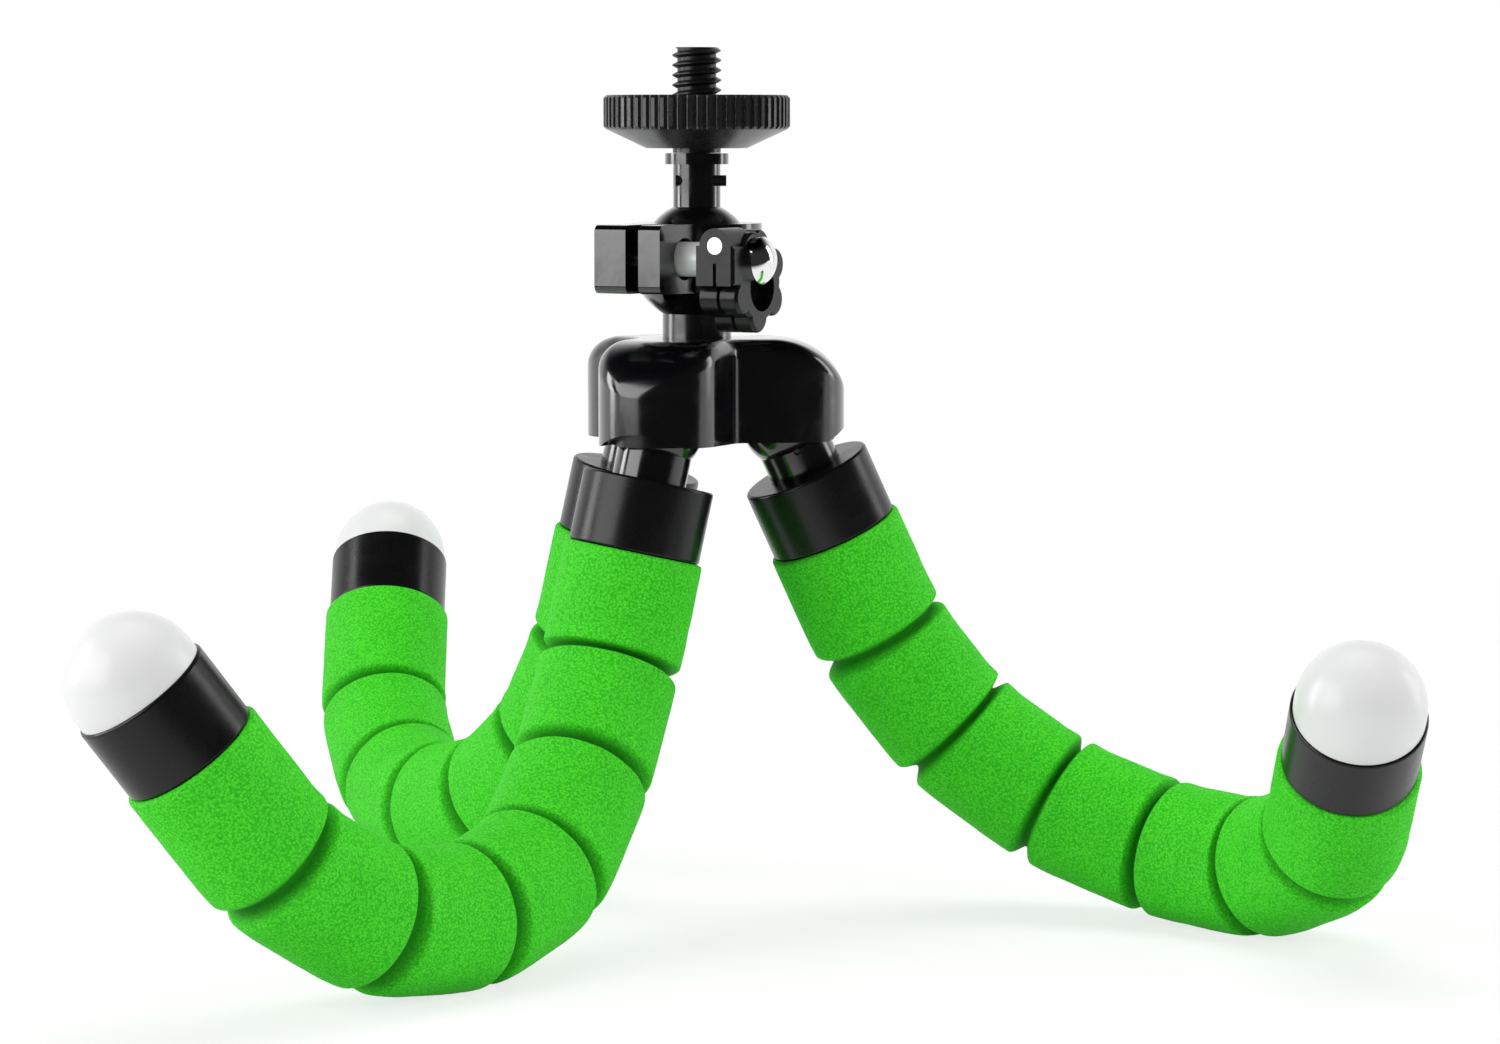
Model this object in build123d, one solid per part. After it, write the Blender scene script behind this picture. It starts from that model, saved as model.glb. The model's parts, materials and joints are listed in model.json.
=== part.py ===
from build123d import *
import math
import os

# Flexible leg tripod: a ball head on a three-lobed hub, and three bendable legs in grooved foam.
# Lengths are in millimetres and angles in degrees. The floor is at Z = 0 and +Z is up.

# Foam sleeve of a leg
sleeve_r = 8.9
shoulder_round = 1.2
groove_pitch = 16.2
groove_width = 1.9
groove_depth = 1.6
foam_gap = 0.3
first_sleeve_length = 14.8
last_sleeve_length = 16.4
plug_r = 6.9
segments = 7
floor_flat = 0.5

# Bendable core inside the sleeve
core_r = 1.75
core_end_gap = 0.2
core_end_cover = 0.4

# Bend limits of the grooves
bend_spare_angle = 10.0
bend_back_angle = 3.0
bend_margin_angle = 2.0
shoulder_gap = 0.15

# Neck that joins a leg to the hub
neck_ball_r = 5.6
neck_r = 4.75
neck_sway_gap = 0.2
neck_sway_steps = 4
neck_reach = 6.6
neck_flange_t = 2.0
neck_spigot_r = 3.2
neck_spigot_depth = 8.0
neck_mark_r = 0.4
neck_mark_depth = 0.5
neck_mark_place = 3.2
neck_tilt_angle = 26.5

# Collar at the top of a leg
collar_r = 8.4
collar_length = 9.3
collar_top_t = 2.0
collar_wall = 1.4
edge_round = 0.4

# Foot ring and foot
ring_r = 8.4
ring_length = 9.8
ring_web_t = 2.0
foot_r = 8.05
foot_band = 1.1
foot_spigot_r = 3.0
foot_spigot_depth = 5.0

# Hub
hub_base_z = 62.5
hub_height = 13.2
hub_reach = 19.1
lobe_r = 7.8
neck_circle_inset = 7.7
hub_dome_round = 8.8
hub_dome_spare = 0.3
hub_valley_round = 2.0
hub_edge_round = 2.4
hub_skirt = 1.3
hub_plate_t = 2.0
hub_cavity_r = 4.4
hub_top_t = 3.4
hub_arch_width = 11.8
hub_arch_height = 1.7
access_hole_r = 2.6
first_lobe_heading = 6.0
lobe_step_angle = 120.0

# Screws in the hub
base_screw_r = 0.9
base_screw_head_r = 1.6
base_screw_head_t = 1.0
base_screw_length = 6.0
base_screw_circle_r = 6.1
stem_screw_r = 1.5
stem_screw_head_r = 4.1
stem_screw_head_t = 1.8
stem_screw_length = 5.2

# Ball and its post
ball_r = 7.1
ball_above_hub = 10.4
post_r = 3.05
post_height = 11.9
flange_r = 4.1
flange_t = 1.4
post_bore_depth = 7.8
ball_tilt_angle = 24.0

# Socket and split clamp
socket_wall = 1.4
socket_band_r = 8.4
socket_half_height = 4.35
stem_r = 4.45
stem_spigot_r = 3.0
ear_length = 16.1
ear_back_t = 4.6
ear_front_t = 3.15
ear_round = 1.0
clamp_slot = 1.9
clamp_heading = -30.0
window_r = 2.7
window_depth = 1.2

# Clamp screw and knob
screw_out = 9.9
screw_drop = 0.0
screw_r = 1.5
barrel_r = 2.2
knob_start = 9.1
knob_t = 5.4
knob_core_r = 5.1
knob_lobe_r = 2.1
knob_reach = 6.5
knob_lobes = 6
knob_lobe_angle = -27.0
knob_drop = 2.9
knob_hang_angle = 24.0
knob_boss_r = 3.6
knob_eye_r = 2.2
knob_eye_rise = 1.9
knob_eye_reach = 5.7
knob_eye_height = 5.0
knob_pin_r = 1.05
knob_pin_gap = 0.3
knob_edge_round = 0.5
knob_groove_width = 0.5
knob_groove_depth = 0.4
knob_recess_r = 3.0
knob_recess_depth = 2.2
knob_recess_shift = 0.9
cap_r = 3.0
cap_base_t = 1.0
cap_dome_t = 1.5
nut_across = 5.5
nut_sides = 6
nut_t = 2.4
nut_inset = 0.6

# Thumbwheel and camera stud
wheel_r = 12.0
wheel_rim_t = 4.4
wheel_cone_t = 2.4
wheel_under_r = 6.5
wheel_boss_r = 3.1
wheel_boss_t = 0.6
wheel_bevel = 0.4
wheel_relief_gap = 0.4
wheel_relief_depth = 0.5
wheel_flutes = 60
flute_share = 0.3
stud_major_r = 3.15
stud_minor_r = 2.5
stud_length = 6.1
stud_pitch = 1.27
ridge_share = 0.8
crest_share = 0.14
ridge_seat = 0.15
stud_bevel = 0.6
shank_r = 1.75
shank_groove_r = 1.0
shank_groove_width = 1.6
stud_pin_r = 0.7
stud_pin_half = 2.7
stud_pin_proud = 1.1
stud_pin_place = 9.8

# Clearances
fit_gap = 0.05
cut_over = 1.0

# Bends of each leg as it stands: where each link points, first the collar, then sleeve by sleeve
leg_names = ["right", "back", "front"]
leg_headings = {
    "right": [17, 11, 349, 335, 319, 297, 272],
    "back": [162, 131, 129, 124, 115, 105, 90],
    "front": [203, 251, 247, 240, 230, 219, 203],
}
leg_slopes = {
    "right": [65, 52, 35, 19, 4, -20, -46],
    "back": [77, 57, 35, 12, -6, -31, -51],
    "front": [77, 50, 41, 12, -6, -32, -53],
}
settle_angle = 15.0
settle_steps = 40

# Places worked out from the sizes
neck_circle_r = hub_reach - neck_circle_inset
groove_r = sleeve_r - groove_depth
pocket_r = groove_r + foam_gap
collar_end = neck_reach + collar_length
socket_z = hub_base_z + hub_plate_t
hub_top_z = hub_base_z + hub_height
ball_z = hub_top_z + ball_above_hub
flange_top_z = ball_z + post_height + flange_t
boss_z = flange_top_z + fit_gap
rim_z = boss_z + wheel_boss_t + wheel_cone_t
seat_z = rim_z + wheel_rim_t
stud_top_z = seat_z + stud_length
stud_pin_z = ball_z + stud_pin_place
stud_pin_y = -(shank_groove_r + stud_pin_r + fit_gap)
cavity_top = hub_height - hub_top_t
bowl_r = ball_r + fit_gap
socket_r = bowl_r + socket_wall
stem_low = -ball_above_hub
ear_back = -(clamp_slot / 2 + ear_back_t)
ear_front = clamp_slot / 2 + ear_front_t
knob_end = knob_start + knob_t
up = Vector(0, 0, 1)
down = Vector(0, 0, -1)
on_end = (Align.CENTER, Align.CENTER, Align.MIN)
cut_size = groove_pitch + sleeve_r + sleeve_r


def rod(radius, start, end):
    """Cylinder on the local Z axis, from one station to another."""
    return Pos(0, 0, start) * Cylinder(radius, end - start, align=on_end)


def rounded_rod(radius, start, end, low_round, high_round):
    """Rod with its end edges rounded, or left sharp where the round is zero."""
    body = rod(radius, start, end)
    if low_round > 0:
        body = fillet(body.edges().group_by(Axis.Z)[0], low_round)
    if high_round > 0:
        body = fillet(body.edges().group_by(Axis.Z)[-1], high_round)
    return body


def half_space(point, normal):
    """Block on the side of a plane that its normal points to."""
    block = Box(cut_size, cut_size, cut_size, align=on_end)
    return Plane(origin=point, z_dir=normal) * block


# Lines of the legs


def link_direction(heading, slope):
    """Unit vector with a heading from +X and a slope below the horizontal."""
    h = math.radians(heading)
    s = math.radians(slope)
    return Vector(math.cos(s) * math.cos(h), math.cos(s) * math.sin(h), -math.sin(s))


def turned(vector, axis, angle):
    """Vector turned about an axis through the origin."""
    return vector.rotate(Axis((0, 0, 0), axis), angle)


def lobe_heading(index):
    """Heading of a hub lobe."""
    return first_lobe_heading + lobe_step_angle * index


def link_lengths():
    """Length of each link of a leg, from the neck's ball to the foot ring."""
    first = collar_end + first_sleeve_length
    return [first] + [groove_pitch] * (segments - 2) + [last_sleeve_length]


def leg_line(directions, start):
    """Pivots of a leg, from the neck's ball to the start of the foot ring."""
    points = [start]
    for direction, length in zip(directions, link_lengths()):
        points.append(points[-1] + direction * length)
    return points


def lowest_underside(directions, start):
    """Height of the lowest place on the full-width part of a leg's sleeves."""
    shoulder = groove_width / 2 + shoulder_round
    lows = []
    points = leg_line(directions, start)
    for direction, first, last in zip(directions, points, points[1:]):
        drop = sleeve_r * math.sqrt(1 - direction.Z**2)
        for place in (first + direction * shoulder, last - direction * shoulder):
            lows.append(place.Z - drop)
    return min(lows)


def settled_leg(index, name):
    """Leg swung about its neck's ball until its sleeves press the floor by the depth of the flat."""
    angle = math.radians(lobe_heading(index))
    start = Vector(neck_circle_r * math.cos(angle), neck_circle_r * math.sin(angle), socket_z)
    links = [link_direction(h, s) for h, s in zip(leg_headings[name], leg_slopes[name])]
    swing_axis = links[0].cross(down).normalized()
    low, high = -settle_angle, settle_angle
    for _ in range(settle_steps):
        middle = (low + high) / 2
        moved = [turned(link, swing_axis, middle) for link in links]
        if lowest_underside(moved, start) > -floor_flat:
            low = middle
        else:
            high = middle
    directions = [turned(link, swing_axis, (low + high) / 2) for link in links]
    pairs = list(zip(directions, directions[1:]))
    return {
        "points": leg_line(directions, start),
        "directions": directions,
        "swing_axis": swing_axis,
        "tilt": directions[0].get_angle(down),
        "axes": [first.cross(second).normalized() for first, second in pairs],
        "bends": [first.get_angle(second) for first, second in pairs],
    }


legs = {name: settled_leg(index, name) for index, name in enumerate(leg_names)}


def link_plane(leg, index):
    """Plane at the start of a link, with Z along it."""
    return Plane(origin=leg["points"][index], z_dir=leg["directions"][index])


# Pieces of a leg


def relief(leg, groove, before):
    """Block that clears the inner side of a groove, so that its shoulders just meet at full bend."""
    axis = leg["axes"][groove]
    half = (leg["bends"][groove] + bend_spare_angle + bend_margin_angle) / 2
    if before:
        normal = turned(leg["directions"][groove], axis, half)
    else:
        normal = turned(leg["directions"][groove + 1], axis, -half) * -1
    point = leg["points"][groove + 1] - normal * shoulder_gap
    return half_space(point, normal)


def sleeve_end(leg, index, foam):
    """Foam with its far end finished: a round end for the next pocket, or a bore for the foot."""
    plane = link_plane(leg, index)
    length = link_lengths()[index]
    if index == segments - 1:
        return foam - plane * rod(foot_spigot_r + fit_gap, length - foot_spigot_depth, length)
    foam -= relief(leg, index, True)
    return foam + plane * Pos(0, 0, length) * Sphere(groove_r)


def sleeve_start(leg, index, foam):
    """Foam with its near end finished: a plug in the collar, or a pocket for the last round end."""
    plane = link_plane(leg, index)
    if index > 0:
        foam -= relief(leg, index - 1, False)
        return foam - plane * Sphere(pocket_r)
    foam += plane * rod(plug_r, neck_reach + collar_top_t + neck_flange_t, collar_end)
    return foam - plane * rod(neck_spigot_r + fit_gap, 0, collar_end + neck_spigot_depth)


def sleeve_segment(leg, index):
    """Foam between two grooves, with its link of the core inside."""
    plane = link_plane(leg, index)
    length = link_lengths()[index]
    low, high = groove_width / 2, length - groove_width / 2
    low_round = high_round = shoulder_round
    core_low = pocket_r + core_end_gap
    core_high = length + groove_r - core_end_cover
    if index == 0:
        low, low_round = collar_end, edge_round
        core_low = collar_end + neck_spigot_depth + fit_gap
    if index == segments - 1:
        high, high_round = length, edge_round
        core_high = length - foot_spigot_depth - fit_gap
    foam = plane * rounded_rod(sleeve_r, low, high, low_round, high_round)
    foam = sleeve_start(leg, index, sleeve_end(leg, index, foam))
    foam -= plane * rod(core_r, core_low, core_high)
    if foam.bounding_box().min.Z < 0:
        place = leg["points"][index]
        foam -= half_space(Vector(place.X, place.Y, 0), down)
    core = plane * rod(core_r, core_low, core_high)
    return Compound(children=[foam.solid(), core.solid()])


def neck(leg):
    """Neck: ball in the hub, round shaft, flange inside the collar and spigot in the foam."""
    top = neck_reach + collar_top_t
    flange_end = top + neck_flange_t
    body = Sphere(neck_ball_r) + rod(neck_r, 0, top)
    body += rod(collar_r - collar_wall, top, flange_end)
    body += rod(neck_spigot_r, flange_end, collar_end + neck_spigot_depth)
    along = leg["directions"][0]
    side = Vector(0, -1, 0)
    side = (side - along * side.dot(along)).normalized()
    body = link_plane(leg, 0) * body
    mark_place = leg["points"][0] + along * neck_mark_place
    mark = rod(neck_mark_r, neck_r - neck_mark_depth, neck_r + cut_over)
    return body - Plane(origin=mark_place, z_dir=side) * mark


def collar(leg):
    """Collar: a cup whose closed end has the hole that the neck comes through."""
    disc_end = neck_reach + collar_top_t
    body = rounded_rod(collar_r, neck_reach, collar_end, edge_round, edge_round)
    body -= rod(neck_r + fit_gap, neck_reach, disc_end)
    body -= rod(collar_r - collar_wall, disc_end, collar_end)
    return link_plane(leg, 0) * body


def ring_plane(leg):
    """Plane at the end of the last sleeve, with Z along it."""
    return Plane(origin=leg["points"][-1], z_dir=leg["directions"][-1])


def foot_ring(leg):
    """Foot ring with a web that the foot's spigot goes through."""
    body = rounded_rod(ring_r, 0, ring_length, edge_round, edge_round)
    body -= rod(foot_spigot_r, 0, ring_web_t)
    body -= rod(plug_r, ring_web_t, ring_length)
    return ring_plane(leg) * body


def foot(leg):
    """Foot: a dome with a plug inside the ring and a spigot that goes on into the foam."""
    band_end = ring_length + foot_band
    dome = Sphere(foot_r) & rod(foot_r, 0, foot_r)
    body = rod(foot_r, ring_length, band_end)
    body += Pos(0, 0, band_end) * dome
    body += rod(plug_r, ring_web_t, ring_length)
    body += rod(foot_spigot_r, -foot_spigot_depth, ring_web_t)
    return ring_plane(leg) * body


# Hub and what is screwed to it


def lobed_outline(inset):
    """Outline of the hub: three round lobes with rounded valleys between them."""
    width = lobe_r - inset
    arm = hub_reach - lobe_r
    outline = Circle(width)
    for index in range(len(leg_names)):
        turn = Rot(0, 0, lobe_heading(index))
        outline += turn * Pos(arm / 2, 0) * Rectangle(arm, width + width)
        outline += turn * Pos(arm, 0) * Circle(width)
    nearest = min(math.hypot(v.X, v.Y) for v in outline.vertices())
    valleys = [v for v in outline.vertices() if math.hypot(v.X, v.Y) < nearest + fit_gap]
    return fillet(valleys, hub_valley_round + inset)


def base_screw_places():
    """Places of the three small screws, between the lobes."""
    angles = [math.radians(lobe_heading(i) + lobe_step_angle / 2) for i in range(len(leg_names))]
    radius = base_screw_circle_r
    return [(radius * math.cos(angle), radius * math.sin(angle)) for angle in angles]


def neck_places():
    """Places of the balls of the necks, each with X pointing outward."""
    return [Rot(0, 0, lobe_heading(i)) * Pos(neck_circle_r, 0, hub_plate_t)
            for i in range(len(leg_names))]


def neck_room():
    """Space that the necks' shafts sweep in the hub, from hanging straight down to their outer limit."""
    rooms = []
    for leg in legs.values():
        heading = math.degrees(math.atan2(leg["directions"][0].Y, leg["directions"][0].X))
        for step in range(neck_sway_steps):
            slope = 90 - neck_tilt_angle * step / (neck_sway_steps - 1)
            plane = Plane(origin=leg["points"][0], z_dir=link_direction(heading, slope))
            rooms.append(plane * rod(neck_r + neck_sway_gap, 0, neck_reach))
    return rooms


def hub_shell():
    """Hub: lobed body with a domed outer edge, sockets for the necks and low arches in its skirt."""
    body = extrude(lobed_outline(0), hub_height)
    body &= rounded_rod(hub_reach + hub_dome_spare, 0, hub_height, 0, hub_dome_round)
    upper = [e for e in body.edges() if e.bounding_box().min.Z > hub_plate_t]
    body = fillet(upper, hub_edge_round)
    body -= extrude(lobed_outline(hub_skirt), hub_plate_t)
    body -= rod(hub_cavity_r, 0, cavity_top)
    body -= rod(stem_spigot_r, cavity_top, hub_height)
    for x, y in base_screw_places():
        body -= Pos(x, y) * rod(base_screw_r, 0, base_screw_length)
    arch_r = (hub_arch_width**2 / 4 + hub_arch_height**2) / (hub_arch_height + hub_arch_height)
    arch = Pos(0, 0, hub_arch_height - arch_r - hub_plate_t) * Rot(0, 90, 0) * rod(arch_r, 0, hub_reach)
    for place in neck_places():
        body -= place * Sphere(neck_ball_r + fit_gap)
        body -= place * arch
    return Pos(0, 0, hub_base_z) * body - neck_room()


def hub_base():
    """Bottom plate that holds the balls of the necks up in their sockets."""
    body = extrude(lobed_outline(hub_skirt), hub_plate_t)
    body -= rod(access_hole_r, 0, hub_plate_t)
    for place in neck_places():
        body -= place * Sphere(neck_ball_r + fit_gap)
    for x, y in base_screw_places():
        body -= Pos(x, y) * rod(base_screw_r, 0, hub_plate_t)
        body -= Pos(x, y) * rod(base_screw_head_r, 0, base_screw_head_t)
    return Pos(0, 0, hub_base_z) * body - neck_room()


def base_screws():
    """Three small screws that hold the bottom plate."""
    screw = rod(base_screw_head_r, 0, base_screw_head_t)
    screw += rod(base_screw_r, base_screw_head_t, base_screw_length)
    return Compound(children=[(Pos(x, y, hub_base_z) * screw).solid() for x, y in base_screw_places()])


def stem_screw():
    """Screw that pulls the head's stem down on the hub from inside."""
    body = rod(stem_screw_head_r, cavity_top - stem_screw_head_t, cavity_top)
    body += rod(stem_screw_r, cavity_top, cavity_top + stem_screw_length)
    return Pos(0, 0, hub_base_z) * body


# Ball head


def clamp_plane():
    """Plane at the ball's centre with X along the clamp screw, towards the knob."""
    heading = math.radians(clamp_heading)
    return Plane(origin=(0, 0, ball_z), x_dir=(math.cos(heading), math.sin(heading), 0), z_dir=up)


screw_line = Pos(0, -screw_out, -screw_drop) * Rot(0, 90, 0)


def nut_blank(bore):
    """Hexagonal nut in its place in the rear ear."""
    start = ear_back + nut_inset
    hexagon = RegularPolygon(nut_across / 2, nut_sides, major_radius=False)
    body = Pos(0, 0, start) * extrude(hexagon, nut_t)
    if bore > 0:
        body -= rod(bore, start, start + nut_t)
    return body


def ball_socket():
    """Socket: bowl and band round the ball, two ears with a slot between them, and the stem."""
    body = Sphere(socket_r) & rod(socket_r, -socket_r, socket_half_height)
    body += rod(socket_band_r, -socket_half_height, socket_half_height)
    ear_size = ear_front - ear_back
    ears = Box(ear_size, ear_length, 2 * socket_half_height, align=(Align.MIN, Align.MAX, Align.CENTER))
    ears = fillet(ears.edges().filter_by(Axis.X).group_by(Axis.Y)[0], ear_round)
    body += Pos(ear_back, 0, 0) * ears
    body += rod(stem_r, stem_low, -bowl_r)
    body += rod(stem_spigot_r, stem_low - hub_top_t, stem_low)
    body -= Sphere(bowl_r)
    slot_height = 2 * (socket_half_height + cut_over)
    body -= Box(clamp_slot, ear_length, slot_height, align=(Align.CENTER, Align.MAX, Align.CENTER))
    body -= screw_line * rod(screw_r + fit_gap, ear_back, ear_front)
    body -= screw_line * rod(window_r, ear_front - window_depth, ear_front)
    body -= screw_line * nut_blank(0)
    body -= screw_line * rod(nut_across / 2, ear_back, ear_back + nut_inset)
    body -= rod(stem_screw_r, stem_low - hub_top_t, stem_low - hub_top_t + stem_screw_length)
    return clamp_plane() * body


def clamp_nut():
    """Nut in the rear ear."""
    return clamp_plane() * screw_line * nut_blank(screw_r + fit_gap)


def screw_sleeve():
    """Bright sleeve on the screw, between the front ear and the knob."""
    body = rod(barrel_r, ear_front - window_depth + fit_gap, knob_start)
    body -= rod(screw_r, 0, knob_start)
    return clamp_plane() * screw_line * body


def clamp_screw():
    """Clamp screw with its domed head in the face of the knob."""
    seat = knob_end
    body = rod(screw_r, ear_back + nut_inset, seat)
    body += rod(cap_r, seat, seat + cap_base_t)
    dome_r = (cap_r**2 + cap_dome_t**2) / (cap_dome_t + cap_dome_t)
    dome = Pos(0, 0, seat + cap_base_t + cap_dome_t - dome_r) * Sphere(dome_r)
    body += dome & rod(cap_r, seat + cap_base_t, seat + cap_base_t + cap_dome_t)
    return clamp_plane() * screw_line * body


def knob_outline():
    """Outline of the knob: lobed part below the screw, boss round the screw, and block for the pin."""
    outline = Circle(knob_core_r)
    for index in range(knob_lobes):
        turn = Rot(0, 0, knob_lobe_angle + 360 / knob_lobes * index)
        outline += turn * Pos(knob_reach - knob_lobe_r, 0) * Circle(knob_lobe_r)
    outline = Rot(0, 0, knob_hang_angle) * Pos(knob_drop, 0) * outline
    block = Rectangle(knob_eye_height, knob_eye_reach, align=(Align.MIN, Align.MAX))
    return outline + Circle(knob_boss_r) + Pos(-knob_eye_rise, 0) * block


def knob_pin_place():
    """Middle of the knob on the screw, lifted to the line of its pin, with Z along the pin."""
    return Pos(-knob_eye_rise, 0, knob_start + knob_t / 2) * Rot(90, 0, 0)


def clamp_knob():
    """Lobed knob that hangs below its screw, with a rounded eye for its pin and a recess in its face."""
    outline = knob_outline()
    body = Pos(0, 0, knob_start) * extrude(outline, knob_t)
    body = fillet(body.edges().group_by(Axis.Z)[-1], knob_edge_round)
    groove = extrude(outline, knob_groove_width) - extrude(offset(outline, -knob_groove_depth), knob_groove_width)
    body -= Pos(0, 0, knob_start + (knob_t - knob_groove_width) / 2) * groove
    body += knob_pin_place() * rod(knob_eye_r, 0, knob_eye_reach)
    body -= knob_pin_place() * rod(knob_pin_r, screw_r + knob_pin_gap, knob_eye_reach)
    body -= rod(screw_r, knob_start, knob_end)
    recess = rod(knob_recess_r, knob_end - knob_recess_depth, knob_end)
    body -= Rot(0, 0, knob_hang_angle) * Pos(knob_drop + knob_recess_shift, 0) * recess
    return clamp_plane() * screw_line * body


def knob_pin():
    """Bright pin in the eye of the knob, that holds the knob on its screw."""
    return clamp_plane() * screw_line * knob_pin_place() * rod(knob_pin_r, screw_r + knob_pin_gap, knob_eye_reach)


def ball_post():
    """Ball with its post and the flange that the thumbwheel turns on."""
    top = post_height + flange_t
    body = Sphere(ball_r)
    body += rod(post_r, 0, post_height)
    body += rod(flange_r, post_height, top)
    body -= rod(shank_r + fit_gap, top - post_bore_depth, top)
    body = Pos(0, 0, ball_z) * body
    return body - Pos(0, stud_pin_y, stud_pin_z) * Rot(0, 90, 0) * rod(stud_pin_r, -stud_pin_half, post_r)


def stud_pin():
    """Cross pin in the post that keeps the stud's shank in."""
    pin = rod(stud_pin_r, -stud_pin_half, stud_pin_half + stud_pin_proud)
    return Pos(0, stud_pin_y, stud_pin_z) * Rot(0, 90, 0) * pin


def thumbwheel():
    """Thumbwheel: fluted rim, conical underside and a boss that stands on the flange."""
    flute_r = flute_share * 2 * math.pi * wheel_r / wheel_flutes
    flutes = PolarLocations(wheel_r, wheel_flutes) * Circle(flute_r)
    rim = extrude(Circle(wheel_r) - flutes, wheel_rim_t)
    bevelled = chamfer(rod(wheel_r, 0, wheel_rim_t).edges(), wheel_bevel)
    body = Pos(0, 0, rim_z) * (rim & bevelled)
    cone_r = wheel_r - wheel_bevel
    body += Pos(0, 0, boss_z + wheel_boss_t) * Cone(wheel_under_r, cone_r, wheel_cone_t, align=on_end)
    body += rod(wheel_boss_r, boss_z, boss_z + wheel_boss_t)
    body -= rod(stud_major_r + wheel_relief_gap, seat_z - wheel_relief_depth, seat_z)
    return body - rod(stud_minor_r, boss_z, seat_z)


def threaded_rod(start, end):
    """Threaded rod: a ridge wound on a root, with its ends cut square and the top one bevelled."""
    low_r = stud_minor_r - ridge_seat
    base = ridge_share * stud_pitch / 2
    crest = crest_share * stud_pitch / 2
    corners = [(low_r, -base), (stud_major_r, -crest), (stud_major_r, crest), (low_r, base)]
    outline = Plane.XZ * Polygon(*corners, align=None)
    path = Helix(stud_pitch, end - start + stud_pitch, low_r)
    body = rod(stud_minor_r, start - stud_pitch, end + stud_pitch)
    body += Pos(0, 0, start - stud_pitch / 2) * sweep(outline, path, is_frenet=True)
    limit = rod(stud_major_r + ridge_seat, start, end)
    return body & chamfer(limit.edges().group_by(Axis.Z)[-1], stud_bevel)


def camera_stud():
    """Camera stud with its thread, the plain part in the wheel and the grooved shank."""
    body = threaded_rod(seat_z, stud_top_z)
    body += rod(stud_minor_r, boss_z, seat_z)
    body += rod(shank_r, flange_top_z - post_bore_depth + fit_gap, boss_z)
    half = shank_groove_width / 2
    groove = rod(shank_r + fit_gap, stud_pin_z - half, stud_pin_z + half)
    groove -= rod(shank_groove_r, stud_pin_z - half, stud_pin_z + half)
    return body - groove


pieces = {
    "camera_stud": camera_stud(),
    "thumbwheel": thumbwheel(),
    "stud_pin": stud_pin(),
    "ball_post": ball_post(),
    "ball_socket": ball_socket(),
    "clamp_nut": clamp_nut(),
    "clamp_screw": clamp_screw(),
    "screw_sleeve": screw_sleeve(),
    "clamp_knob": clamp_knob(),
    "knob_pin": knob_pin(),
    "hub_shell": hub_shell(),
    "hub_base": hub_base(),
    "base_screws": base_screws(),
    "stem_screw": stem_screw(),
}
for leg_name in leg_names:
    line = legs[leg_name]
    pieces[leg_name + "_neck"] = neck(line)
    pieces[leg_name + "_collar"] = collar(line)
    for number in range(segments):
        pieces[leg_name + "_sleeve_" + str(number + 1)] = sleeve_segment(line, number)
    pieces[leg_name + "_ring"] = foot_ring(line)
    pieces[leg_name + "_foot"] = foot(line)

# The origin is on the floor, under the middle of the whole object
middle = Compound([solid for piece in pieces.values() for solid in piece.solids()]).bounding_box().center()
shift = Pos(-middle.X, -middle.Y, 0)

os.makedirs("parts", exist_ok=True)
for piece_name, piece in pieces.items():
    export_step(shift * piece, "parts/" + piece_name + ".step")
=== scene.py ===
# %% [markdown]
# # A small tripod with bendable foam legs
#
# The tripod has a glossy three-lobed hub, a little ball head with a camera stud, and three legs.
# A leg is a bendable core in a grooved foam sleeve, with a black collar at the top and a black
# ring with a white domed foot at the end. The rigid pieces come from the engineering model, which
# is loaded first and stays where it is. The foam is made here, because real foam is one soft piece
# a leg, squeezed on the inner side of each bend and stretched on the outer side.

import json
import math
from collections import namedtuple

import bpy
import numpy as np
from mathutils import Matrix, Vector, noise


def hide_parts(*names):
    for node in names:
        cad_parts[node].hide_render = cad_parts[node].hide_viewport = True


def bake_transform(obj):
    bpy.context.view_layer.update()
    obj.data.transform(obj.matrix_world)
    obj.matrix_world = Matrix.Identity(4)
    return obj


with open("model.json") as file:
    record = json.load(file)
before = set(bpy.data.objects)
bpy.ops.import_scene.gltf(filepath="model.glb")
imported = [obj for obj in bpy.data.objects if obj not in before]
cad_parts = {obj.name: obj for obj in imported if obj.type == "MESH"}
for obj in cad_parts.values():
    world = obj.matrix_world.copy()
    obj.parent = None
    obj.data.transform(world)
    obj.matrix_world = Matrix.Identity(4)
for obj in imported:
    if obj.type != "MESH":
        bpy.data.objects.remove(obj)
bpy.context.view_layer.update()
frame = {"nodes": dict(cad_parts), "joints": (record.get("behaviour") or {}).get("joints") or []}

# %% [markdown]
# Sizes are in metres. The legs' joints give the line of each leg, so nothing has to be measured
# twice: the first joint is where the leg's neck swings in the hub, and the six others sit in the
# middle of the grooves.

# %% Sizes and the joints of the legs
MM = 0.001
LEGS = ("right", "back", "front")
BENDS = 6
SLEEVE_R = 8.9 * MM
COLLAR_END = 15.9 * MM
FIRST_LENGTH = 30.7 * MM
PITCH = 16.2 * MM
LAST_LENGTH = 16.4 * MM

joints = {j["name"]: j for j in frame["joints"]}


def pivots(leg):
    """The neck's ball and the six bends of a leg."""
    names = [leg + "_swing"] + [f"{leg}_bend_{k}" for k in range(1, BENDS + 1)]
    return [Vector(joints[name]["pos_m"]) for name in names]


def middle_of(node):
    """Middle of a node's surface, weighted by the area of its faces."""
    mesh = frame["nodes"][node].data
    total = sum((p.center * p.area for p in mesh.polygons), Vector())
    return total / sum(p.area for p in mesh.polygons)


def leg_line(leg):
    """Pivots of a leg, and the direction of each of its seven links."""
    points = pivots(leg)
    ends = points[1:] + [middle_of(leg + "_ring")]
    return points, [(b - a).normalized() for a, b in zip(points, ends)]


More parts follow.
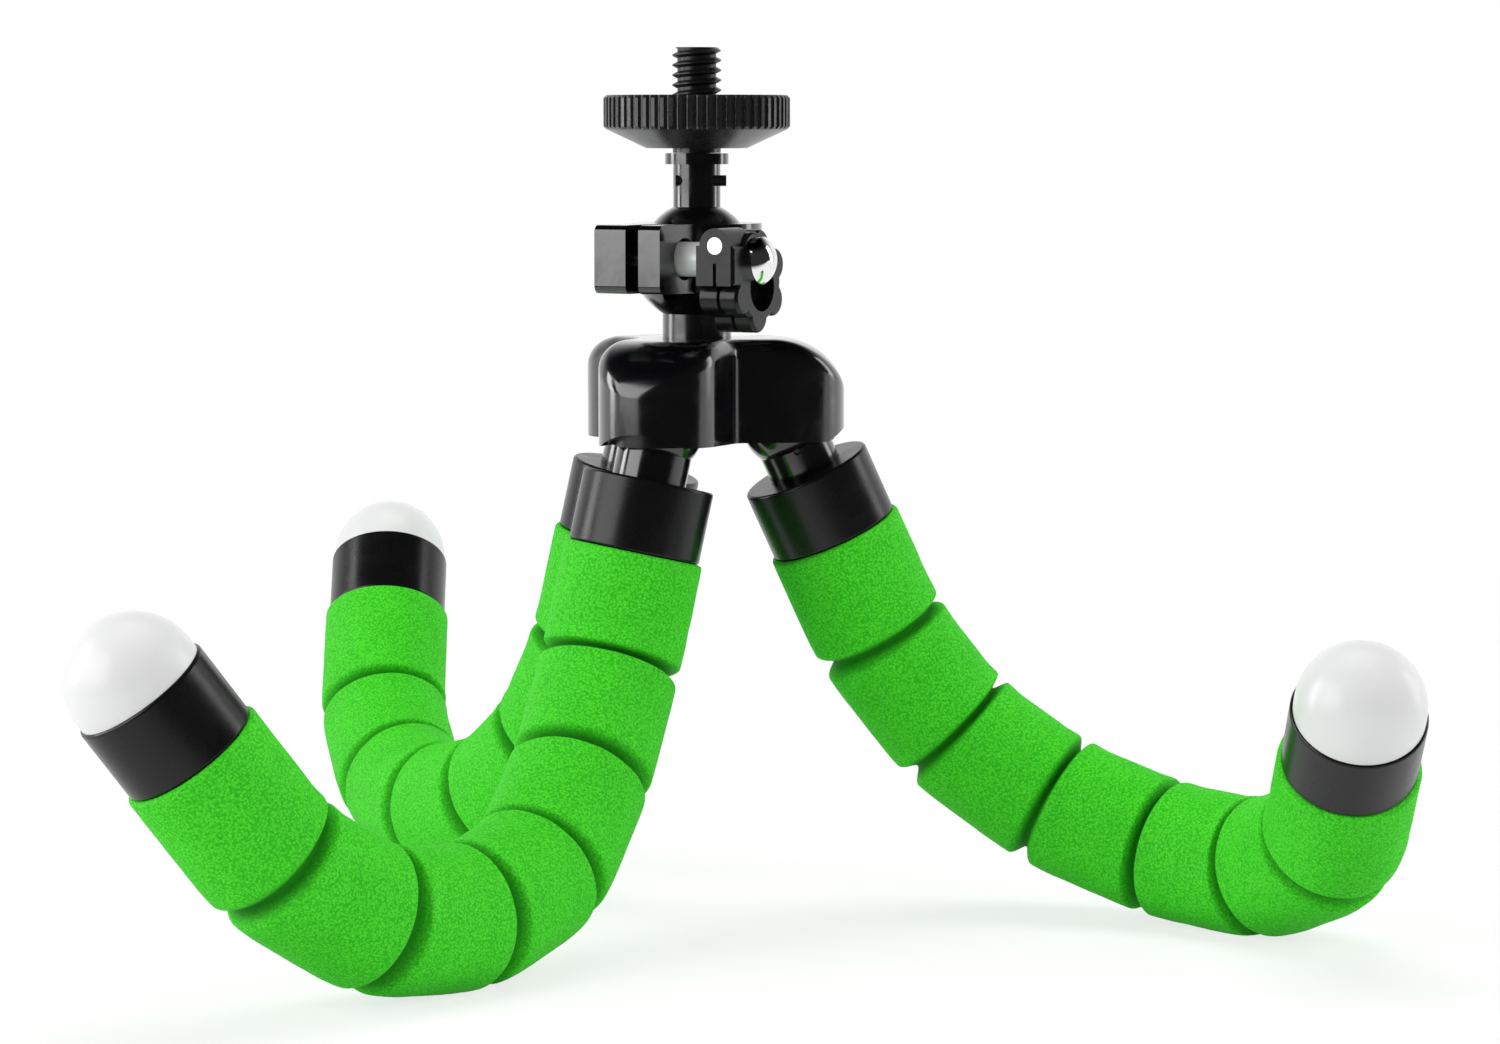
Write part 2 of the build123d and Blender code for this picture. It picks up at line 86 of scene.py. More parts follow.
hub_middle = sum((pivots(leg)[0] for leg in LEGS), Vector()) / len(LEGS)
print("hub stands at", [round(1000 * v, 2) for v in hub_middle])

# %% [markdown]
# ## The camera
#
# The picture was taken from nearly level with the ball head, a little from above. The camera is
# set from the hub's place, so it stays right when the model's origin moves.

# %% Camera
CAMERA_RIGHT = 6.84 * MM
CAMERA_BACK = 600 * MM
CAMERA_HEIGHT = 103.95 * MM
CAMERA_PITCH = math.radians(4.97)
CAMERA_LENS = 111.6

camera = bpy.data.objects.new("camera", bpy.data.cameras.new("camera"))
bpy.context.scene.collection.objects.link(camera)
camera.location = (hub_middle.x + CAMERA_RIGHT, hub_middle.y - CAMERA_BACK, CAMERA_HEIGHT)
camera.rotation_euler = (math.pi / 2 - CAMERA_PITCH, 0, 0)
camera.data.sensor_width = 36
camera.data.lens = CAMERA_LENS
camera.data.clip_start = 0.01
camera.data.clip_end = 20
bpy.context.scene.camera = camera
print("camera", [round(v, 4) for v in camera.location], "lens", camera.data.lens)

# %% [markdown]
# ## Helpers for materials
#
# Every finish is a node tree. These helpers keep the trees short: one adds a node and sets its
# values, the other starts a material or a group.

# %% Node helpers


def add_node(tree, kind, **values):
    """A new node, with its own settings and its sockets' values."""
    node = tree.nodes.new(kind)
    for name, value in values.items():
        if hasattr(node, name):
            setattr(node, name, value)
        else:
            node.inputs[name.replace("_", " ")].default_value = value
    return node


def new_group(name, inputs, outputs):
    """An empty node group with its sockets: names with a start value in, names with a kind out."""
    tree = bpy.data.node_groups.new(name, "ShaderNodeTree")
    for socket, start in inputs.items():
        kind = "NodeSocketColor" if isinstance(start, tuple) else "NodeSocketFloat"
        item = tree.interface.new_socket(name=socket, in_out="INPUT", socket_type=kind)
        item.default_value = start
    for socket, kind in outputs.items():
        tree.interface.new_socket(name=socket, in_out="OUTPUT", socket_type=kind)
    return tree, tree.nodes.new("NodeGroupInput"), tree.nodes.new("NodeGroupOutput")


def place_group(tree, group, **values):
    """A group placed in a material, with its own values."""
    node = tree.nodes.new("ShaderNodeGroup")
    node.node_tree = group
    for name, value in values.items():
        node.inputs[name.replace("_", " ")].default_value = value
    return node


def new_finish(name, **values):
    """A material, its tree and its Principled shader with plain values set."""
    material = bpy.data.materials.new(name)
    material.use_nodes = True
    tree = material.node_tree
    shader = tree.nodes["Principled BSDF"]
    for socket, value in values.items():
        shader.inputs[socket.replace("_", " ")].default_value = value
    return material, tree, shader


# %% [markdown]
# ## Effects that several finishes share
#
# Moulded plastic is never perfectly smooth: it has a fine grain from the mould, and handling
# leaves faint smudges that change its gloss. Both are groups here, made once and placed in each
# material with its own values, so that a change to the grain is made in one place. The textures
# use object coordinates in metres, so a scale of 1000 gives features of about a millimetre.
#
# The grain takes its height from a fine noise, and a broad noise mixes its two close tones.

# %% Group: mould grain
mould_grain, ins, outs = new_group(
    "mould grain",
    {"Scale": 1500.0, "Dark": (0.01, 0.01, 0.01, 1), "Light": (0.02, 0.02, 0.02, 1)},
    {"Color": "NodeSocketColor", "Height": "NodeSocketFloat"},
)
place = add_node(mould_grain, "ShaderNodeTexCoord")
fine = add_node(mould_grain, "ShaderNodeTexNoise", Detail=3.0, Roughness=0.6)
broad = add_node(mould_grain, "ShaderNodeTexNoise", Scale=160.0, Detail=2.0)
tone = add_node(mould_grain, "ShaderNodeMix", data_type="RGBA")
mould_grain.links.new(place.outputs["Object"], fine.inputs["Vector"])
mould_grain.links.new(place.outputs["Object"], broad.inputs["Vector"])
mould_grain.links.new(ins.outputs["Scale"], fine.inputs["Scale"])
mould_grain.links.new(broad.outputs["Fac"], tone.inputs["Factor"])
mould_grain.links.new(ins.outputs["Dark"], tone.inputs[6])
mould_grain.links.new(ins.outputs["Light"], tone.inputs[7])
mould_grain.links.new(tone.outputs[2], outs.inputs["Color"])
mould_grain.links.new(fine.outputs["Fac"], outs.inputs["Height"])
print("group", mould_grain.name, "has", len(mould_grain.nodes), "nodes")

# %% [markdown]
# Smudges show as patches of duller gloss. A cloudy noise that is cut off at its low end goes from
# the clean roughness to the smudged one, so that the clean part stays even.

# %% Group: handling marks
handling, ins, outs = new_group(
    "handling marks",
    {"Scale": 120.0, "Clean": 0.15, "Smudged": 0.3},
    {"Roughness": "NodeSocketFloat"},
)
place = add_node(handling, "ShaderNodeTexCoord")
cloud = add_node(handling, "ShaderNodeTexNoise", Detail=6.0, Roughness=0.65, Distortion=0.6)
spread = add_node(handling, "ShaderNodeMapRange", From_Min=0.42, From_Max=0.75)
handling.links.new(place.outputs["Object"], cloud.inputs["Vector"])
handling.links.new(ins.outputs["Scale"], cloud.inputs["Scale"])
handling.links.new(cloud.outputs["Fac"], spread.inputs["Value"])
handling.links.new(ins.outputs["Clean"], spread.inputs["To Min"])
handling.links.new(ins.outputs["Smudged"], spread.inputs["To Max"])
handling.links.new(spread.outputs["Result"], outs.inputs["Roughness"])
print("group", handling.name, "has", len(handling.nodes), "nodes")

# %% [markdown]
# ## Plastics and metals
#
# One helper makes every hard finish, because they differ only in numbers: the two tones, the two
# roughness values, how fine and deep the grain is, and whether it is metal. The hub, the necks,
# the ball and its socket are polished black plastic, with a clear outer gloss that the smudges
# dull as well. The collars, the rings and the knob are black with a satin mould texture, and the
# wheel's knurling is a little lighter. The feet are white satin plastic. The barrel beside the
# knob is plated; its finish is nearly white and barely metal, a painted reflection of the bright
# light that its plating mirrors. The clamp screw and the knob's pin are chrome.

# %% Hard finishes


def hard_finish(name, dark, light, clean, smudged, grain, depth, **plain):
    """A moulded or polished finish with tone, gloss and grain that vary over the surface."""
    material, tree, shader = new_finish(name, **plain)
    surface = place_group(tree, mould_grain, Scale=grain, Dark=(*dark, 1), Light=(*light, 1))
    gloss = place_group(tree, handling, Clean=clean, Smudged=smudged)
    bump = add_node(tree, "ShaderNodeBump", Strength=0.5, Distance=depth)
    tree.links.new(surface.outputs["Color"], shader.inputs["Base Color"])
    tree.links.new(gloss.outputs["Roughness"], shader.inputs["Roughness"])
    tree.links.new(gloss.outputs["Roughness"], shader.inputs["Coat Roughness"])
    tree.links.new(surface.outputs["Height"], bump.inputs["Height"])
    tree.links.new(bump.outputs["Normal"], shader.inputs["Normal"])
    return material


finishes = {
    "gloss_black": hard_finish(
        "polished black plastic", (0.002, 0.002, 0.0025), (0.004, 0.004, 0.005), 0.10, 0.30, 600,
        0.010 * MM, Coat_Weight=0.8,
    ),
    "satin_black": hard_finish(
        "satin black plastic", (0.003, 0.003, 0.0035), (0.007, 0.007, 0.0075), 0.24, 0.34, 4200,
        0.02 * MM, Specular_IOR_Level=0.34,
    ),
    "knurled_black": hard_finish(
        "knurled black plastic", (0.009, 0.009, 0.0095), (0.018, 0.018, 0.019), 0.24, 0.36, 4200,
        0.02 * MM, Specular_IOR_Level=0.62,
    ),
    "chrome": hard_finish(
        "bright chrome", (0.80, 0.80, 0.81), (0.88, 0.88, 0.89), 0.05, 0.12, 900, 0.001 * MM,
        Metallic=1.0,
    ),
    # Painted reflection: the barrel's nearly white, barely metal tone stands in for the bright
    # light its plating mirrors.
    "painted_white_barrel": hard_finish(
        "plated barrel with painted reflection", (0.93, 0.93, 0.94), (0.97, 0.97, 0.98), 0.20, 0.30, 3000, 0.003 * MM,
        Metallic=0.10,
    ),
    "steel": hard_finish(
        "plain steel", (0.42, 0.42, 0.43), (0.56, 0.56, 0.57), 0.24, 0.38, 3000, 0.004 * MM,
        Metallic=1.0,
    ),
    "black_steel": hard_finish(
        "blackened steel", (0.020, 0.020, 0.021), (0.045, 0.045, 0.047), 0.28, 0.42, 3000,
        0.006 * MM, Metallic=0.75,
    ),
    "white_satin": hard_finish(
        "white satin plastic", (0.86, 0.86, 0.865), (0.90, 0.90, 0.905), 0.30, 0.38, 3600,
        0.006 * MM,
    ),
}
print("hard finishes:", ", ".join(finishes))

# %% [markdown]
# ## Foam
#
# The sleeves are closed-cell foam, dyed through, with cells of a quarter of a millimetre that
# show as a fine speckle of lighter walls and darker pits. A cell texture gives the pits and a fine
# noise breaks them up. Broad noise shifts the green a little, and a value stored on the mesh, how
# deep each point lies in a groove, darkens the floor of each groove with painted shade.

# %% Foam finish
FOAM_WALL = (0.110, 0.90, 0.040)
FOAM_PIT = (0.036, 0.60, 0.011)
# The last colour is painted shade: the deep green laid into the floor of each groove.
FOAM_GROOVE_SHADE = (0.010, 0.22, 0.004)
FOAM_TINT = (0.88, 0.93, 0.88)
NO_TINT = (1, 1, 1)


def two_tone(tree, value, low, high):
    """A colour that goes from one to another with a value. Low and high are (value, colour)."""
    ramp = add_node(tree, "ShaderNodeValToRGB")
    for element, (position, colour) in zip(ramp.color_ramp.elements, (low, high)):
        element.position = position
        element.color = (*colour, 1)
    tree.links.new(value, ramp.inputs["Fac"])
    return ramp.outputs["Color"]


foam, tree, shader = new_finish("green foam", Specular_IOR_Level=0.22)
place = add_node(tree, "ShaderNodeTexCoord")
cells = add_node(tree, "ShaderNodeTexVoronoi", feature="SMOOTH_F1", Scale=3300.0, Smoothness=0.35)
grit = add_node(tree, "ShaderNodeTexNoise", Scale=5200.0, Detail=3.0, Roughness=0.65)
drift = add_node(tree, "ShaderNodeTexNoise", Scale=190.0, Detail=3.0, Roughness=0.55)
for texture in (cells, grit, drift):
    tree.links.new(place.outputs["Object"], texture.inputs["Vector"])
pits = add_node(tree, "ShaderNodeMath", operation="MULTIPLY")
tree.links.new(cells.outputs["Distance"], pits.inputs[0])
tree.links.new(grit.outputs["Fac"], pits.inputs[1])
speckle = two_tone(tree, pits.outputs["Value"], (0.06, FOAM_WALL), (0.36, FOAM_PIT))
tint = two_tone(tree, drift.outputs["Fac"], (0.3, FOAM_TINT), (0.7, NO_TINT))
shift = add_node(tree, "ShaderNodeMix", data_type="RGBA", blend_type="MULTIPLY")
shift.inputs["Factor"].default_value = 1.0
tree.links.new(speckle, shift.inputs[6])
tree.links.new(tint, shift.inputs[7])
# Painted shade: how deep a point lies in a groove darkens the foam there towards the deep green.
groove_painted_shade = add_node(tree, "ShaderNodeMix", data_type="RGBA")
groove_shade_mask = add_node(tree, "ShaderNodeAttribute", attribute_name="groove")
groove_painted_shade.inputs[7].default_value = (*FOAM_GROOVE_SHADE, 1)
tree.links.new(groove_shade_mask.outputs["Fac"], groove_painted_shade.inputs["Factor"])
tree.links.new(shift.outputs[2], groove_painted_shade.inputs[6])
tree.links.new(groove_painted_shade.outputs[2], shader.inputs["Base Color"])
rough = add_node(tree, "ShaderNodeMapRange", To_Min=0.62, To_Max=0.86)
tree.links.new(grit.outputs["Fac"], rough.inputs["Value"])
tree.links.new(rough.outputs["Result"], shader.inputs["Roughness"])
relief = add_node(tree, "ShaderNodeBump", invert=True, Strength=1.0, Distance=0.13 * MM)
tree.links.new(pits.outputs["Value"], relief.inputs["Height"])
tree.links.new(relief.outputs["Normal"], shader.inputs["Normal"])
finishes["green_foam"] = foam
print("foam finish has", len(tree.nodes), "nodes")

# %% [markdown]
# ## The line of a foam sleeve
#
# A sleeve could be swept along a curve object, but then the squeeze at the bends and the grooves
# would be hard to control. Here the tube is worked out point by point instead. Each bend of the
# core turns over a short stretch of foam, so the line is straight pieces joined by arcs. Going
# round an arc, the inner side gets shorter and the outer side longer by itself, which is how the
# real grooves pinch shut inside a bend and open outside it.

# %% Line of a sleeve
TURN_REACH = 4.5 * MM
# Where the neck's ball and each bend lie along the unbent leg.
MARKS = [0.0] + [FIRST_LENGTH + PITCH * k for k in range(BENDS)]

Line = namedtuple("Line", "points directions frames turns")


def start_frame(direction):
    """Two unit vectors across a direction."""
    across = direction.cross(Vector((0, 1, 0))).normalized()
    return across, direction.cross(across).normalized()


def link_frames(directions):
    """Across vectors of each link, carried on without twist, and each bend's axis and angle."""
    frames = [start_frame(directions[0])]
    turns = []
    for before, after in zip(directions, directions[1:]):
        axis = before.cross(after).normalized()
        angle = before.angle(after)
        turn = Matrix.Rotation(angle, 3, axis)
        frames.append(tuple(turn @ v for v in frames[-1]))
        turns.append((axis, angle))
    return frames, turns


def place_on_leg(line, along):
    """Middle of the sleeve and its across vectors, at a distance along the unbent leg."""
    for k in range(1, BENDS + 1):
        gone = along - (MARKS[k] - TURN_REACH)
        if 0 < gone < 2 * TURN_REACH:
            axis, angle = line.turns[k - 1]
            turned = angle * gone / (2 * TURN_REACH)
            radius = TURN_REACH / math.tan(angle / 2)
            before = line.directions[k - 1]
            inward = axis.cross(before)
            arc = math.sin(turned) * before + (1 - math.cos(turned)) * inward
            middle = line.points[k] - before * TURN_REACH + radius * arc
            turn = Matrix.Rotation(turned, 3, axis)
            return middle, tuple(turn @ v for v in line.frames[k - 1])
    link = sum(1 for mark in MARKS[1:] if along > mark)
    return line.points[link] + line.directions[link] * (along - MARKS[link]), line.frames[link]


leg_lines = {}
for leg in LEGS:
    points, directions = leg_line(leg)
    frames, turns = link_frames(directions)
    leg_lines[leg] = Line(points, directions, frames, turns)
    print(leg, "bends in degrees:", [round(math.degrees(angle)) for _, angle in turns])

# %% [markdown]
# ## The grooves
#
# The grooves are cut with a round tool and their edges relax, so in section a groove is a soft
# notch: wide at the surface and narrow at its floor, like one wave of a cosine raised to a power.
# The cut's depth wanders a little round the leg, which a smooth noise gives. The foam also swells
# where a bend squeezes it.

# %% Section of a sleeve
GROOVE_HALF = 1.6 * MM
GROOVE_DEPTH = 1.75 * MM
GROOVE_POWER = 1.25
UNEVEN_CUT = 0.10
UNEVEN_SIZE = 5 * MM
SWELL = 0.45 * MM
SWELL_PLACE = 1.9 * MM
SWELL_WIDTH = 1.6 * MM
LUMP = 0.06 * MM
LUMP_SIZE = 2.6 * MM
END_ROUND = 0.5 * MM


def groove_drop(offset):
    """How far the surface lies below full size, at a distance from a groove's middle."""
    if abs(offset) >= GROOVE_HALF:
        return 0.0
    wave = 0.5 + 0.5 * math.cos(math.pi * offset / GROOVE_HALF)
    return GROOVE_DEPTH * wave**GROOVE_POWER


def end_drop(distance):
    """Rounding at an end of the foam, at a distance from that end."""
    if distance >= END_ROUND:
        return 0.0
    return END_ROUND * (1 - math.sqrt(1 - (1 - distance / END_ROUND) ** 2))


def wander(point, size):
    """Smooth noise between about -1 and 1, with features of that size."""
    return noise.noise(point / size)


# %% [markdown]
# ## Sleeve pieces
#
# A leg moves at six bends, and a soft piece can follow one bend only, so the sleeve is made in
# six pieces that meet in the middle of the segments. There the foam stays rigid on its link, so
# the pieces stay closed in every pose. The small lumps fade out at these meetings, and the edge
# of each end disc is marked sharp, so that the shading runs on from piece to piece without a
# line.

# %% Make the sleeves
AROUND = 112
FINE_STEP = 0.17 * MM
COARSE_STEP = 0.85 * MM
FINE_REACH = 2.2 * MM
FADE_REACH = 2.5 * MM
CONTACT = 0.02 * MM
NOTHING = 1e-9
FOAM_START = COLLAR_END + CONTACT
FOAM_END = MARKS[BENDS] + LAST_LENGTH - CONTACT
FINE_PLACES = [*MARKS[1:], FOAM_START, FOAM_END]


def steps_between(low, high):
    """Distances along a piece, close together near the grooves and the sleeve's ends."""
    result = [low]
    while result[-1] < high - NOTHING:
        here = result[-1]
        near = min(abs(here - mark) for mark in FINE_PLACES)
        step = FINE_STEP if near < FINE_REACH else COARSE_STEP
        result.append(min(here + step, high))
    if result[-1] - result[-2] < FINE_STEP / 2:
        del result[-2]
    return result


def sleeve_ring(line, along, fade):
    """Points round the sleeve at one distance along it, and how deep in a groove they are."""
    middle, (side, other) = place_on_leg(line, along)
    nearest = min(range(1, BENDS + 1), key=lambda k: abs(along - MARKS[k]))
    offset = along - MARKS[nearest]
    axis, angle = line.turns[nearest - 1]
    inward = axis.cross(side.cross(other))
    squeeze = angle * math.exp(-(((abs(offset) - SWELL_PLACE) / SWELL_WIDTH) ** 2))
    drop = groove_drop(offset)
    cut = end_drop(along - FOAM_START) + end_drop(FOAM_END - along)
    points = []
    for i in range(AROUND):
        turn = 2 * math.pi * i / AROUND
        out = side * math.cos(turn) + other * math.sin(turn)
        unbent = Vector((math.cos(turn) * SLEEVE_R, math.sin(turn) * SLEEVE_R, along))
        uneven = 1 + UNEVEN_CUT * wander(unbent, UNEVEN_SIZE)
        lump = LUMP * wander(unbent, LUMP_SIZE) * fade
        swell = SWELL * squeeze * max(0.0, out.dot(inward)) * fade
        point = middle + out * (SLEEVE_R - drop * uneven - cut + lump + swell)
        point.z = max(point.z, CONTACT)
        points.append(point)
    return points, drop / GROOVE_DEPTH


def foam_mesh(name, rings, depths):
    """Closed tube from rings of points, with sharp-edged end discs and the groove value on it."""
    count = len(rings)
    vertices = [p for ring in rings for p in ring]
    faces = []
    for r in range(count - 1):
        for i in range(AROUND):
            j = (i + 1) % AROUND
            a, b = r * AROUND, (r + 1) * AROUND
            faces.append((a + i, a + j, b + j, b + i))
    faces.append(tuple(reversed(range(AROUND))))
    faces.append(tuple(range((count - 1) * AROUND, count * AROUND)))
    mesh = bpy.data.meshes.new(name)
    mesh.from_pydata(vertices, [], faces)
    mesh.shade_smooth()
    rims = mesh.attributes.new("sharp_edge", "BOOLEAN", "EDGE")
    last = (count - 1) * AROUND
    for edge in mesh.edges:
        a, b = edge.vertices
        rims.data[edge.index].value = (a < AROUND and b < AROUND) or (a >= last and b >= last)
    # How deep each ring lies in a groove; the foam is darkened by it with painted shade.
    value = mesh.attributes.new("groove", "FLOAT", "POINT")
    value.data.foreach_set("value", np.repeat(np.array(depths, np.float32), AROUND))
    return mesh


def sleeve_piece(leg, number):
    """One piece of a leg's foam, round the bend of that number, from 1 to 6."""
    line = leg_lines[leg]
    low = FOAM_START if number == 1 else MARKS[number] - PITCH / 2
    high = FOAM_END if number == BENDS else MARKS[number] + PITCH / 2
    rings, depths = [], []
    for along in steps_between(low, high):
        near_low = 1.0 if number == 1 else (along - low) / FADE_REACH
        near_high = 1.0 if number == BENDS else (high - along) / FADE_REACH
        fade = min(near_low, near_high, 1.0)
        ring, depth = sleeve_ring(line, along, fade * fade * (3 - 2 * fade))
        rings.append(ring)
        depths.append(depth)
    name = f"{leg}_foam_{number}"
    piece = bpy.data.objects.new(name, foam_mesh(name, rings, depths))
    bpy.context.scene.collection.objects.link(piece)
    piece.data.materials.append(foam)
    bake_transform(piece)
    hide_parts(f"{leg}_sleeve_{number}", f"{leg}_sleeve_{number + 1}")
    return piece


for leg in LEGS:
    made = [sleeve_piece(leg, number) for number in range(1, BENDS + 1)]
    print(leg, "foam pieces:", len(made), "faces:", sum(len(p.data.polygons) for p in made))

# %% [markdown]
# ## Finishes on the pieces of the model
#
# The hard pieces keep the shape the engineering model gives them. Each gets the finish that its
# real one has, by name.

# %% Put the finishes on
FINISH_OF = {
    "camera_stud": "black_steel",
    "thumbwheel": "knurled_black",
    "stud_pin": "black_steel",
    "ball_post": "gloss_black",
    "ball_socket": "gloss_black",
    "clamp_nut": "steel",
    "clamp_screw": "chrome",
    "screw_sleeve": "painted_white_barrel",
    "clamp_knob": "satin_black",
    "knob_pin": "chrome",
    "hub_shell": "gloss_black",
    "hub_base": "satin_black",
    "base_screws": "steel",
    "stem_screw": "steel",
    "neck": "gloss_black",
    "collar": "satin_black",
    "ring": "satin_black",
    "foot": "white_satin",
}


def finish_name(node):
    """The finish of a node, by its own name or by what follows the leg's name."""
    if "_sleeve_" in node:
        return "green_foam"
    return FINISH_OF.get(node) or FINISH_OF[node.split("_", 1)[1]]


for name, node in frame["nodes"].items():
    for slot in node.material_slots:
        slot.material = finishes[finish_name(name)]
print("finished nodes:", len(frame["nodes"]))

# %% [markdown]
# ## Floor and room
#
# The picture is a studio shot on white. Near the object the floor shows nearly white and takes
# the object's shadow. Further off it turns into pure white, so that no edge shows where it ends,
# and to the object it is just a pale floor. Most of the white is the backdrop, which the camera
# sees through the floor, so a leg that a pose stretches below the floor still shows.
#
# The room is white behind the object, where the backdrop hangs, and dark on the camera's side,
# where the white sheet ends. That is why the polished black reads so deep in the picture, with
# pale edges where it turns away.

# %% Floor and room
FLOOR_HALF = 4.0
FLOOR_BODY = 0.30
FLOOR_GLOW = 0.74
FLOOR_PLAIN = 0.8
NEAR_FLOOR = 0.16
FAR_FLOOR = 0.50
SHEET_END = -0.26
SHEET_START = -0.10
ROOM_FRONT = 0.03
ROOM_BACK = 1.0
# Directions between which the room turns white to the back, and dark overhead and underfoot.
ROOM_TURN = (0.05, 0.75)
ROOM_TOP = (0.80, 0.35)
ROOM_FOOT = (-0.04, -0.015)


def grey(value):
    """A grey with full alpha."""
    return (value, value, value, 1)


def seen_directly(tree):
    """A value that is 1 for what the camera sees, also in reflections and through glass."""
    rays = add_node(tree, "ShaderNodeLightPath")
    seen = rays.outputs["Is Camera Ray"]
    for other in ("Is Glossy Ray", "Is Transmission Ray"):
        either = add_node(tree, "ShaderNodeMath", operation="MAXIMUM")
        tree.links.new(seen, either.inputs[0])
        tree.links.new(rays.outputs[other], either.inputs[1])
        seen = either.outputs[0]
    return seen


def ramp_along(tree, value, low, high):
    """A smooth step from 0 to 1 as a value goes from low to high."""
    step = add_node(tree, "ShaderNodeMapRange", interpolation_type="SMOOTHSTEP")
    step.inputs["From Min"].default_value = low
    step.inputs["From Max"].default_value = high
    tree.links.new(value, step.inputs["Value"])
    return step.outputs["Result"]


def product(tree, first, second):
    """Two values multiplied."""
    both = add_node(tree, "ShaderNodeMath", operation="MULTIPLY")
    tree.links.new(first, both.inputs[0])
    tree.links.new(second, both.inputs[1])
    return both.outputs[0]


def mixed(tree, factor, first, second):
    """A shader between two others, by a factor."""
    mix = add_node(tree, "ShaderNodeMixShader")
    for source, socket in zip((factor, first, second), mix.inputs):
        tree.links.new(source, socket)
    return mix.outputs[0]


def summed(tree, first, second):
    """Two shaders added."""
    both = add_node(tree, "ShaderNodeAddShader")
    for source, socket in zip((first, second), both.inputs):
        tree.links.new(source, socket)
    return both.outputs[0]


def white_stage(name, body, glow):
    """A floor that is nearly white near the object, with its shadow, and white far off.

    The camera sees through it to the white behind, and from below it is clear, so a leg that is
    stretched below the floor still shows and is lit. The part of it in front of the object is
    dark in reflections.
    """
    material = bpy.data.materials.new(name)
    material.use_nodes = True
    tree = material.node_tree
    tree.nodes.clear()
    out = add_node(tree, "ShaderNodeOutputMaterial")
    rays = add_node(tree, "ShaderNodeLightPath")
    side = add_node(tree, "ShaderNodeNewGeometry")
    place = add_node(tree, "ShaderNodeTexCoord")
    away = add_node(tree, "ShaderNodeVectorMath", operation="LENGTH")
    parts = add_node(tree, "ShaderNodeSeparateXYZ")
    tree.links.new(place.outputs["Object"], away.inputs[0])
    tree.links.new(place.outputs["Object"], parts.inputs["Vector"])
    far = ramp_along(tree, away.outputs["Value"], NEAR_FLOOR, FAR_FLOOR)
    in_front = ramp_along(tree, parts.outputs["Y"], SHEET_START, SHEET_END)
    plain = add_node(tree, "ShaderNodeBsdfDiffuse", Color=grey(FLOOR_PLAIN)).outputs[0]
    seen = add_node(tree, "ShaderNodeBsdfDiffuse", Color=grey(body)).outputs[0]
    light = add_node(tree, "ShaderNodeEmission", Strength=glow).outputs[0]
    white = add_node(tree, "ShaderNodeEmission", Strength=1.0).outputs[0]
    table = add_node(tree, "ShaderNodeEmission", Strength=ROOM_FRONT).outputs[0]
    veil = add_node(tree, "ShaderNodeBsdfTransparent", Color=grey(glow)).outputs[0]
    clear = add_node(tree, "ShaderNodeBsdfTransparent", Color=grey(1)).outputs[0]
    mirrored = mixed(tree, far, summed(tree, seen, light), white)
    surface = mixed(tree, seen_directly(tree), plain, mirrored)
    off_sheet = product(tree, rays.outputs["Is Glossy Ray"], in_front)
    surface = mixed(tree, off_sheet, surface, table)
    shown = mixed(tree, far, summed(tree, seen, veil), clear)
    surface = mixed(tree, rays.outputs["Is Camera Ray"], surface, shown)
    surface = mixed(tree, side.outputs["Backfacing"], surface, clear)
    tree.links.new(surface, out.inputs["Surface"])
    return material


floor_mesh = bpy.data.meshes.new("floor")
corners = [(x * FLOOR_HALF, y * FLOOR_HALF, 0) for x, y in ((-1, -1), (1, -1), (1, 1), (-1, 1))]
floor_mesh.from_pydata(corners, [], [(0, 1, 2, 3)])
floor = bpy.data.objects.new("floor", floor_mesh)
bpy.context.scene.collection.objects.link(floor)
floor.data.materials.append(white_stage("studio floor", FLOOR_BODY, FLOOR_GLOW))

world = bpy.data.worlds.new("studio")
bpy.context.scene.world = world
world.use_nodes = True
tree = world.node_tree
tree.nodes.clear()
out = add_node(tree, "ShaderNodeOutputWorld")
sky = add_node(tree, "ShaderNodeBackground", Color=grey(1), Strength=1.0)
room = add_node(tree, "ShaderNodeBackground", Strength=1.0)
way = add_node(tree, "ShaderNodeTexCoord")
parts = add_node(tree, "ShaderNodeSeparateXYZ")
tree.links.new(way.outputs["Generated"], parts.inputs["Vector"])
depth = add_node(tree, "ShaderNodeMapRange", interpolation_type="SMOOTHSTEP")
for socket, value in zip(("From Min", "From Max"), ROOM_TURN):
    depth.inputs[socket].default_value = value
depth.inputs["To Min"].default_value = ROOM_FRONT
depth.inputs["To Max"].default_value = ROOM_BACK
tree.links.new(parts.outputs["Y"], depth.inputs["Value"])
shade = product(tree, depth.outputs["Result"], ramp_along(tree, parts.outputs["Z"], *ROOM_TOP))
shade = product(tree, shade, ramp_along(tree, parts.outputs["Z"], *ROOM_FOOT))
tree.links.new(shade, room.inputs["Color"])
